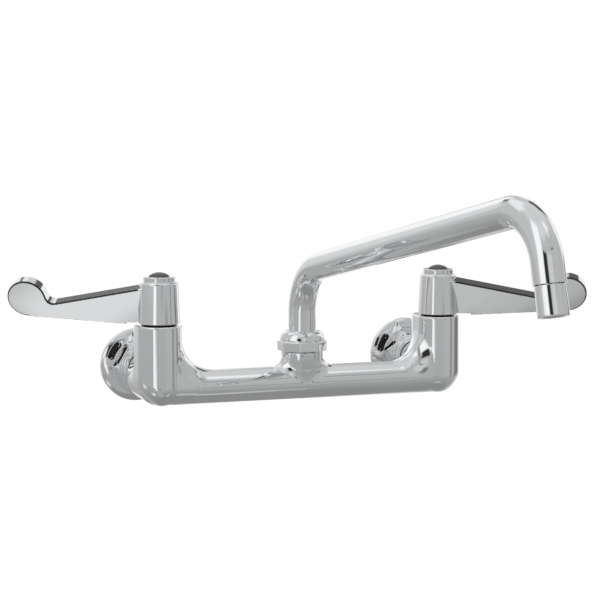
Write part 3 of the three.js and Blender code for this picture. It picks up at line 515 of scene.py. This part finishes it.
def handleDistance(v, centreX, turn, lean, arrisOnly=False):
    paddle = np.array([v["paddleReach"], v["paddleRise"]])
    root = np.array([0, -v["rootBelow"]])
    toPaddle = paddle - root
    lowAngle = math.atan2(toPaddle[1], toPaddle[0]) - math.asin(v["paddleRadius"] / np.hypot(*toPaddle))
    fall = math.radians(v["taper"])
    height = v["shoulder"] - v["bottom"]
    c, s = math.cos(math.radians(turn)), math.sin(math.radians(turn))
    cl, sl = math.cos(math.radians(lean)), math.sin(math.radians(lean))
    tilt = math.radians(v["arrisTilt"])

    def distance(points):
        px, py, z = points[:, 0] - centreX, points[:, 1] - columnY, points[:, 2]
        x, y = c * px + s * py, c * py - s * px
        reach = np.hypot(x, y)
        taper = (v["bottomRadius"] - v["topRadius"]) * (z - v["bottom"]) / height
        cone = reach - v["bottomRadius"] + taper
        flats = polygon(x, y, v["flats"], 2 * (v["bottomRadius"] - v["flatDepth"]) - 2 * taper, 0, v["flatEdge"])
        hub = rounded(cone + v["facetShare"] * (largest(cone, flats) - cone), z - v["shoulder"], v["shoulderRound"])
        crown = rounded(reach - v["crownRadius"], z - v["top"], v["crownRound"])
        hub = rounded(smallest(hub, crown), v["bottom"] - z, v["bottomRound"])
        u, w, t = x, -y * sl + (z - v["bladeLevel"]) * cl, -y * cl - (z - v["bladeLevel"]) * sl
        circle = np.hypot(u - paddle[0], w - paddle[1]) - v["paddleRadius"]
        upper = u * math.sin(fall) + (w - v["rootAbove"]) * math.cos(fall)
        lower = u * math.sin(lowAngle) - (w + v["rootBelow"]) * math.cos(lowAngle)
        along = (u - paddle[0]) * math.cos(lowAngle) + (w - paddle[1]) * math.sin(lowAngle)
        rim = largest(filleted(upper, circle, v["bladeFillet"]), smallest(along, circle))
        outline = largest(rim, lower)
        front = lean / abs(lean) * t - v["bladeThickness"] / 2
        arris = rim * math.cos(tilt) + (front + v["arrisWidth"]) * math.sin(tilt)
        if arrisOnly:
            return np.where(reach > v["bottomRadius"] + v["arrisStart"], arris, farInside)
        edge = largest(outline, arris)
        blade = largest(rounded(rounded(edge, front, v["frontEdge"]), -front - v["bladeThickness"], v["bladeEdge"]), -u)
        blade = largest(blade, np.where(reach < v["clearRadius"], v["bottom"] - z, farInside))
        outside = filleted(hub, blade, v["rootFillet"])
        hollow = smallest(
            largest(reach - v["skirtRadius"], z - v["skirtTop"]),
            largest(reach - v["broach"], z - v["broachTop"]),
            largest(reach - v["screwHole"], z - v["screwSeat"] - v["screwOverlap"]),
            largest(reach - v["recess"], v["screwSeat"] - z),
        )
        return rounded(outside, -hollow, v["holeRound"])

    return distance


# The narrow bevel round the blade's front gets a near-black finish of its own: a painted dark reflection, standing in
# for the dark room that the polished bevel reflects.
def paintArrisReflection(mesh, arris):
    centres = np.empty(len(mesh.polygons) * 3)
    mesh.polygons.foreach_get("center", centres)
    mesh.materials.append(finishes["paintedArrisReflection"])
    near = np.abs(arris(centres.reshape(-1, 3) / mm)) < handleValues["arrisDepth"]
    mesh.polygons.foreach_set("material_index", near.astype(int))


buttonValues = {"radius": 7, "seat": 62.1, "top": 70.0, "dome": 2.4, "edge": 0.5, "bottomRound": 0.3, "cell": 0.35,
                "boxHalf": 7.8, "boxLow": 61.4, "boxHigh": 71}


def buttonDistance(v, centreX):
    def distance(points):
        x, y, z = points[:, 0] - centreX, points[:, 1] - columnY, points[:, 2]
        reach = np.hypot(x, y)
        ball = (v["radius"] ** 2 + v["dome"] ** 2) / 2 / v["dome"]
        dome = np.hypot(reach, z - v["top"] + ball) - ball
        return rounded(rounded(reach - v["radius"], dome, v["edge"]), v["seat"] - z, v["bottomRound"])

    return distance


def uprightBox(v, centre, ends):
    half = v["boxHalf"]
    return ((*(ends.min(0) + (centre - half, columnY - half)), v["boxLow"]),
            (*(ends.max(0) + (centre + half, columnY + half)), v["boxHigh"]))


for side, sign in (("left", -1), ("right", 1)):
    centre = sign * columnX
    turn, lean = handleValues[f"{side}Turn"], sign * handleValues["lean"]
    away = np.array([math.cos(math.radians(turn)), math.sin(math.radians(turn))])
    ends = np.array([[0, 0], away * handleValues["boxReach"]])
    mesh = castMesh(f"{side}Handle", handleDistance(handleValues, centre, turn, lean),
                    *uprightBox(handleValues, centre, ends), handleValues["cell"])
    place(f"{side}Handle", mesh, "polishedChrome", f"{side}_handle_set", [f"{side}_handle"], "chrome")
    # paints a dark reflection onto the blade's front bevel
    paintArrisReflection(mesh, handleDistance(handleValues, centre, turn, lean, arrisOnly=True))
    mesh = castMesh(f"{side}Button", buttonDistance(buttonValues, centre),
                    *uprightBox(buttonValues, centre, ends[:1]), buttonValues["cell"])
    place(f"{side}Button", mesh, "darkButton", f"{side}_handle_set", [f"{side}_index_button"], "graphite")
print("handles made")

# the spout tube is made by a node tree that sweeps a round section along the bent line

tubeValues = {"radius": 9.525, "wall": 1.2, "reach": 304.8, "foot": 4.9, "riserCorner": 68.3, "armCorner": 128.0,
              "outletLevel": 67.4, "tilt": 13.5, "bend": 34, "turn": -83, "fitting": 17.9, "sides": 72, "bendSteps": 36,
              "ringSplit": 20, "sharpEdge": 40}  # ringSplit parts the foot's rims from the mouth's by height


def spoutLine(v):
    tilt = math.radians(v["tilt"])
    down = np.array([math.sin(tilt), -math.cos(tilt)])
    mouth = np.array([v["reach"], v["outletLevel"]])
    corners = [np.array([0, v["foot"]]), np.array([0, v["riserCorner"]]),
               mouth - down * (v["armCorner"] - v["outletLevel"]) / math.cos(tilt), mouth - down * v["fitting"]]
    line = [corners[0]]
    for before, corner, after in zip(corners, corners[1:], corners[2:]):
        into = (corner - before) / np.linalg.norm(corner - before)
        out = (after - corner) / np.linalg.norm(after - corner)
        angle = math.acos(np.clip(into @ out, -1, 1))
        start = corner - into * v["bend"] * math.tan(angle / 2)
        inward = np.array([into[1], -into[0]])  # both bends turn clockwise in the spout's own plane
        centre = start + inward * v["bend"]
        for step in range(v["bendSteps"] + 1):
            a = angle * step / v["bendSteps"]
            line.append(centre + v["bend"] * (-inward * math.cos(a) + into * math.sin(a)))
    line.append(corners[-1])
    c, s = math.cos(math.radians(v["turn"])), math.sin(math.radians(v["turn"]))
    return [(c * r * mm, (columnY + s * r) * mm, z * mm) for r, z in line]


def makeSweepTree():
    tree = bpy.data.node_groups.new("sweepTube", "GeometryNodeTree")
    addSocket(tree, "Geometry", "NodeSocketGeometry", True)
    addSocket(tree, "Radius", "NodeSocketFloat", True)
    addSocket(tree, "Bore", "NodeSocketFloat", True)
    addSocket(tree, "Sides", "NodeSocketInt", True)
    addSocket(tree, "Material", "NodeSocketMaterial", True)
    addSocket(tree, "Geometry", "NodeSocketGeometry", False)
    add = nodeSetter(tree)
    given = add("NodeGroupInput").outputs
    curve = add("GeometryNodeMeshToCurve", {"Mesh": given["Geometry"]}).outputs[0]

    def swept(radius):
        ring = add("GeometryNodeCurvePrimitiveCircle", {"Resolution": given["Sides"], "Radius": radius}).outputs[0]
        return add("GeometryNodeCurveToMesh", {"Curve": curve, "Profile Curve": ring}).outputs[0]

    skin = swept(given["Radius"])
    turned = add("GeometryNodeFlipFaces", {"Mesh": swept(given["Bore"])}).outputs[0]
    both = add("GeometryNodeJoinGeometry")
    tree.links.new(skin, both.inputs[0])
    tree.links.new(turned, both.inputs[0])
    real = add("GeometryNodeRealizeInstances", {"Geometry": both.outputs[0]}).outputs[0]
    done = add("GeometryNodeSetMaterial", {"Geometry": real, "Material": given["Material"]}).outputs[0]
    add("NodeGroupOutput", {"Geometry": done})
    return tree


def socketOf(tree, name):
    return next(item.identifier for item in tree.interface.items_tree
                if item.item_type == "SOCKET" and item.in_out == "INPUT" and item.name == name)


# Runs a node tree on a plain mesh and hands back the result as a mesh of its own.
def grown(name, tree, mesh, inputs):
    carrier = bpy.data.objects.new(name + "Carrier", mesh)
    scene.collection.objects.link(carrier)
    modifier = carrier.modifiers.new("tree", "NODES")
    modifier.node_group = tree
    for key, value in inputs.items():
        modifier[socketOf(tree, key)] = value
    result = bpy.data.meshes.new_from_object(carrier.evaluated_get(bpy.context.evaluated_depsgraph_get()))
    result.name = name
    bpy.data.objects.remove(carrier)
    return result


def makeSpoutTube(v):
    line = bpy.data.meshes.new("spoutLine")
    points = spoutLine(v)
    line.from_pydata(points, [(i, i + 1) for i in range(len(points) - 1)], [])
    bore = v["radius"] - v["wall"]
    mesh = grown("spoutTube", makeSweepTree(), line, {
        "Radius": v["radius"] * mm, "Bore": bore * mm, "Sides": v["sides"], "Material": finishes["polishedChrome"]})
    work = bmesh.new()
    work.from_mesh(mesh)
    rims, split = [edge for edge in work.edges if edge.is_boundary], v["ringSplit"] * mm
    bmesh.ops.bridge_loops(work, edges=[e for e in rims if e.verts[0].co.z < split])
    bmesh.ops.bridge_loops(work, edges=[e for e in rims if e.is_valid and e.is_boundary and e.verts[0].co.z > split])
    bmesh.ops.recalc_face_normals(work, faces=work.faces)
    for face in work.faces:
        face.smooth = True
    for edge in work.edges:
        edge.smooth = edge.is_manifold and edge.calc_face_angle() < math.radians(v["sharpEdge"])
    work.to_mesh(mesh)
    work.free()
    return mesh


place("spoutTube", makeSpoutTube(tubeValues), "polishedChrome", "spout", ["spout_tube"], "chrome")
print("spout made")

outletValues = {"length": 17.6, "seamRadius": 8.75, "mouthRadius": 9.05, "bore": 7.2, "lip": 1.2, "lipRadius": 6.3,
                "spigot": 5, "spigotRadius": 8.025, "spigotBore": 7.125, "edge": 0.5, "topRound": 0.5, "ledge": 2,
                "holeRound": 0.2, "cell": 0.45, "boxLength": 22.6, "boxHalf": 10.5}


def outletAxis(v):
    tilt, turn = math.radians(v["tilt"]), math.radians(v["turn"])
    down = np.array([math.sin(tilt) * math.cos(turn), math.sin(tilt) * math.sin(turn), -math.cos(tilt)])
    mouth = np.array([v["reach"] * math.cos(turn), columnY + v["reach"] * math.sin(turn), v["outletLevel"]])
    return mouth, down


def outletDistance(v, mouth, down):
    def distance(points):
        away = points - mouth
        up = -(away @ down)
        reach = np.linalg.norm(away + up[:, None] * down, axis=-1)
        outer = reach - v["mouthRadius"] - (v["seamRadius"] - v["mouthRadius"]) * up / v["length"]
        shell = rounded(rounded(outer, -up, v["edge"]), up - v["length"], v["topRound"])
        spigot = largest(reach - v["spigotRadius"], up - v["length"] - v["spigot"], -up)
        hollow = smallest(
            largest(reach - v["bore"], v["lip"] - up, up - v["length"] + v["ledge"]),
            reach - v["lipRadius"],
            largest(reach - v["spigotBore"], v["length"] - v["ledge"] - up),
        )
        return rounded(smallest(shell, spigot), -hollow, v["holeRound"])

    return distance


mouth, down = outletAxis(tubeValues)
ends = np.array([mouth, mouth - down * outletValues["boxLength"]])
mesh = castMesh("outletShell", outletDistance(outletValues, mouth, down), ends.min(0) - outletValues["boxHalf"],
                ends.max(0) + outletValues["boxHalf"], outletValues["cell"])
place("outletShell", mesh, "polishedChrome", "spout", ["outlet_shell"], "chrome")

screenValues = {"radius": 6.9, "rim": 0.35, "wire": 0.17, "pitch": 0.8, "level": 1.75,
                "wireSides": 8, "rimSteps": 64, "rimSides": 10, "lift": 1.6}  # lift is in wire radii


# A round woven screen: rows of wires cut to the circle, a second row across them, and a rim.
def makeScreenTree(v):
    tree = bpy.data.node_groups.new("wireScreen", "GeometryNodeTree")
    addSocket(tree, "Geometry", "NodeSocketGeometry", True)
    for key in ("Radius", "Rim", "Wire", "Pitch"):
        addSocket(tree, key, "NodeSocketFloat", True)
    addSocket(tree, "Material", "NodeSocketMaterial", True)
    addSocket(tree, "Geometry", "NodeSocketGeometry", False)
    add = nodeSetter(tree)

    def maths(operation, *values):
        return add("ShaderNodeMath", dict(enumerate(values)), operation=operation).outputs[0]

    given = add("NodeGroupInput").outputs
    half = maths("FLOOR", maths("DIVIDE", given["Radius"], given["Pitch"]))
    count = maths("MULTIPLY_ADD", half, 2.0, 1.0)
    first = maths("MULTIPLY", maths("MULTIPLY", half, given["Pitch"]), -1.0)
    start = add("ShaderNodeCombineXYZ", {"X": first}).outputs[0]
    step = add("ShaderNodeCombineXYZ", {"X": given["Pitch"]}).outputs[0]
    row = add("GeometryNodeMeshLine", {"Count": count, "Start Location": start, "Offset": step}).outputs[0]
    across = add("ShaderNodeSeparateXYZ", {0: add("GeometryNodeInputPosition").outputs[0]}).outputs["X"]
    share = maths("DIVIDE", across, given["Radius"])
    length = maths("SQRT", maths("SUBTRACT", 1.0, maths("MULTIPLY", share, share)))
    span = maths("MULTIPLY", given["Radius"], 2.0)
    wire = add("GeometryNodeMeshCylinder", {"Vertices": v["wireSides"], "Radius": given["Wire"],
                                            "Depth": span}).outputs[0]
    size = add("ShaderNodeCombineXYZ", {"X": 1.0, "Y": 1.0, "Z": length}).outputs[0]
    wires = add("GeometryNodeInstanceOnPoints", {"Points": row, "Instance": wire, "Scale": size,
                                                 "Rotation": (math.pi / 2, 0, 0)}).outputs[0]
    lift = add("ShaderNodeCombineXYZ", {"Z": maths("MULTIPLY", given["Wire"], v["lift"])}).outputs[0]
    crossed = add("GeometryNodeTransform", {"Geometry": wires, "Translation": lift,
                                            "Rotation": (0, 0, math.pi / 2)}).outputs[0]
    ring = add("GeometryNodeCurvePrimitiveCircle", {"Resolution": v["rimSteps"], "Radius": given["Radius"]}).outputs[0]
    section = add("GeometryNodeCurvePrimitiveCircle", {"Resolution": v["rimSides"], "Radius": given["Rim"]}).outputs[0]
    rim = add("GeometryNodeCurveToMesh", {"Curve": ring, "Profile Curve": section}).outputs[0]
    every = add("GeometryNodeJoinGeometry")
    for part in (wires, crossed, rim):
        tree.links.new(part, every.inputs[0])
    real = add("GeometryNodeRealizeInstances", {"Geometry": every.outputs[0]}).outputs[0]
    done = add("GeometryNodeSetMaterial", {"Geometry": real, "Material": given["Material"]}).outputs[0]
    add("NodeGroupOutput", {"Geometry": done})
    return tree


def makeScreen(v, mouth, down):
    seed = bpy.data.meshes.new("screenSeed")
    seed.from_pydata([(0, 0, 0)], [], [])
    mesh = grown("outletWires", makeScreenTree(v), seed, {
        "Radius": v["radius"] * mm, "Rim": v["rim"] * mm, "Wire": v["wire"] * mm, "Pitch": v["pitch"] * mm,
        "Material": finishes["plainStainless"]})
    up = Vector(-down)
    turn = up.to_track_quat("Z", "Y").to_matrix().to_4x4()
    mesh.transform(Matrix.Translation((Vector(mouth) + up * v["level"]) * mm) @ turn)
    return mesh


place("outletWires", makeScreen(screenValues, mouth, down), "plainStainless", "spout", ["outlet_screen"], "stainless")
print("outlet made")

# finishes of the pieces that come straight from the frame

# the bonnet nut's near-black finish is painted shade for the dark gap under each handle hub
nodeFinishes = {"cartridge_body": "machinedBrass", "valve_stem": "machinedBrass", "bonnet_nut": "paintedGapShade",
                "spout_sleeve": "machinedBrass", "fixed_disc": "whiteCeramic", "moving_disc": "whiteCeramic",
                "handle_screw": "plainStainless", "inlet_washer": "blackRubber",
                "seat_seal": "blackRubber", "stem_ring": "blackRubber", "spout_ring": "blackRubber",
                "outlet_washer": "blackRubber", "thrust_ring": "paleNylon", "flow_straightener": "paleNylon"}
for name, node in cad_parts.items():
    if not node.hide_render:
        finish = next((value for key, value in nodeFinishes.items() if name.endswith(key)), "polishedChrome")
        node.data.materials.clear()
        node.data.materials.append(finishes[finish])

studioValues = {"floorLevel": -0.32, "floorSize": 12.0, "floorColour": (0.82, 0.82, 0.82), "floorRoughness": 0.7,
                "floorWhite": 0.85, "floorGlow": 1.05, "worldStrength": 1.0}


# Camera, glossy and transmission rays see a white background, other rays what is given.
def addWhiteShare(add, share):
    rays = add("ShaderNodeLightPath").outputs
    seen = add("ShaderNodeMath", {0: rays["Is Camera Ray"], 1: rays["Is Glossy Ray"]}, operation="MAXIMUM").outputs[0]
    seen = add("ShaderNodeMath", {0: seen, 1: rays["Is Transmission Ray"]}, operation="MAXIMUM").outputs[0]
    return add("ShaderNodeMath", {0: seen, 1: share}, operation="MULTIPLY").outputs[0]


def makeFloor(v):
    mesh = bpy.data.meshes.new("floor")
    h = v["floorSize"] / 2
    corners = [(x * h, y * h, v["floorLevel"]) for x, y in ((-1, -1), (1, -1), (1, 1), (-1, 1))]
    mesh.from_pydata(corners, [], [(0, 1, 2, 3)])
    floor = bpy.data.objects.new("floor", mesh)
    scene.collection.objects.link(floor)
    material = bpy.data.materials.new("paleFloor")
    material.use_nodes = True
    tree = material.node_tree
    tree.nodes.clear()
    add = nodeSetter(tree)
    plain = add("ShaderNodeBsdfPrincipled", {"Base Color": (*v["floorColour"], 1),
                                             "Roughness": v["floorRoughness"]}).outputs[0]
    white = add("ShaderNodeEmission", {"Color": (1, 1, 1, 1), "Strength": v["floorGlow"]}).outputs[0]
    mixed = add("ShaderNodeMixShader", {0: addWhiteShare(add, v["floorWhite"]), 1: plain, 2: white}).outputs[0]
    add("ShaderNodeOutputMaterial", {"Surface": mixed})
    mesh.materials.append(material)


def makeWorld(v):
    world = bpy.data.worlds.new("studio")
    world.use_nodes = True
    world.node_tree.nodes.clear()
    add = nodeSetter(world.node_tree)
    plain = add("ShaderNodeBackground", {"Color": (1, 1, 1, 1), "Strength": v["worldStrength"]}).outputs[0]
    white = add("ShaderNodeBackground", {"Color": (1, 1, 1, 1), "Strength": 1.0}).outputs[0]
    mixed = add("ShaderNodeMixShader", {0: addWhiteShare(add, 1.0), 1: plain, 2: white}).outputs[0]
    add("ShaderNodeOutputWorld", {"Surface": mixed})
    scene.world = world


# The studio's walls and cards are what the chrome shows. They light nothing and no camera sees them.
cardValues = {
    "reach": 2.6, "step": 0.006, "depth": 0.28, "corner": 4, "grid": 20,
    "roomSpan": (360, 179.8), "roomGrid": (96, 120),
    # tones of the plain room by height angle in degrees
    "room": [(-90, 0.3), (-60, 0.28), (-35, 0.34), (-12, 0.42), (0, 0.48), (30, 0.5), (48, 0.6), (60, 0.7), (90, 0.66)],
    # direction, height angle, width, height, tone and soft edge, in degrees; later ones are in front
    "cards": [
        (158, 24, 60, 44, 0.58, 10), (-155, 32, 36, 54, 1.05, 12), (-112, 56, 50, 20, 0.72, 12),
        (-68, 28, 64, 48, 0.52, 8), (-96, 19, 24, 20, 0.66, 8), (108, -28, 56, 40, 0.43, 8),
        (112, 14, 26, 40, 0.74, 12), (118, 56, 68, 26, 0.92, 10), (88, 16, 34, 50, 1.02, 10),
        (30, 22, 62, 28, 0.95, 6), (72, -15, 44, 24, 0.9, 6), (35, -26, 50, 34, 0.6, 6),
        (38, 0, 20, 18, 0.95, 6), (-50, 4, 50, 24, 0.49, 6), (-34, -6, 12, 22, 0.3, 5),
        (-124, 17, 20, 22, 0.03, 4), (-86, 6, 8, 8, 0.2, 5), (-133, -3, 10, 14, 1.05, 5),
        (-127, -12, 10, 12, 1.0, 5), (-70, -2, 10, 3, 0.25, 3), (-107, -10.5, 12, 3, 0.25, 3),
        (7, -4, 32, 20, 0.2, 6), (98, 40, 18, 8, 0.2, 5), (37, 41, 26, 24, 0.12, 4),
        (-64, 53, 24, 8, 0.75, 8), (-54, 62, 30, 14, 0.95, 8), (-71, 34, 22, 3, 0.25, 3),
        (-124, -34, 34, 28, 0.42, 8), (-160, -33.8, 18, 8, 0.8, 5), (170, -16, 20, 9, 0.74, 6),
        (-70, -41.7, 11, 7, 0.49, 5), (-75, -45.7, 12, 8, 0.51, 5), (-80, -48, 13, 8, 0.54, 5),
        (-86, -49.7, 14, 8, 0.57, 5),
    ],
}


# A point of the studio's shell, which is round above the object and flat a little above the floor.
def shellPoint(v, azimuth, height, layer):
    a, h = math.radians(azimuth), math.radians(height)
    away = Vector((math.cos(h) * math.cos(a), math.cos(h) * math.sin(a), math.sin(h)))
    corner = v["corner"]
    distance = (v["reach"] ** -corner + (max(-away.z, 0) / v["depth"]) ** corner) ** (-1 / corner)
    return Vector((0, columnY * mm, 0)) + away * distance * (1 - v["step"] * layer)


def makeCards(v):
    points, faces, tones, shares = [], [], [], []

    def patch(middle, level, width, height, tone, layer, soft, columns, rows):
        first = len(points)
        for i in range(columns + 1):
            for j in range(rows + 1):
                x, y = (i / columns - 0.5) * (width + soft), (j / rows - 0.5) * (height + soft)
                points.append(shellPoint(v, middle + x, level + y, layer))
                inside = min(width / 2 - abs(x), height / 2 - abs(y)) / soft + 0.5 if soft else 1
                inside = min(max(inside, 0), 1)
                shares.append(inside * inside * (3 - 2 * inside))
                tones.append(tone if isinstance(tone, float) else np.interp(level + y, *zip(*tone)))
                if i < columns and j < rows:
                    a = first + i * (rows + 1) + j
                    faces.append((a, a + 1, a + rows + 2, a + rows + 1))

    patch(0, 0, *v["roomSpan"], v["room"], 0, 0, *v["roomGrid"])
    for i, (middle, level, width, height, tone, soft) in enumerate(v["cards"]):
        patch(middle, level, width, height, float(tone), i + 1, soft, v["grid"], v["grid"])
    mesh = bpy.data.meshes.new("studioCards")
    mesh.from_pydata(points, [], faces)
    for key, values in (("tone", tones), ("share", shares)):
        mesh.attributes.new(key, "FLOAT", "POINT").data.foreach_set("value", values)
    mesh.update()
    cards = bpy.data.objects.new("studioCards", mesh)
    scene.collection.objects.link(cards)
    for flag in ("camera", "diffuse", "transmission", "volume_scatter", "shadow"):
        setattr(cards, f"visible_{flag}", False)
    material = bpy.data.materials.new("studioCard")
    material.use_nodes = True
    tree = material.node_tree
    tree.nodes.clear()
    add = nodeSetter(tree)
    tone = add("ShaderNodeAttribute", attribute_name="tone").outputs["Fac"]
    share = add("ShaderNodeAttribute", attribute_name="share").outputs["Fac"]
    glow = add("ShaderNodeEmission", {"Color": (1, 1, 1, 1), "Strength": tone}).outputs[0]
    clear = add("ShaderNodeBsdfTransparent").outputs[0]
    mixed = add("ShaderNodeMixShader", {0: share, 1: clear, 2: glow}).outputs[0]
    add("ShaderNodeOutputMaterial", {"Surface": mixed})
    mesh.materials.append(material)


makeFloor(studioValues)
makeWorld(studioValues)
makeCards(cardValues)
print("studio made")
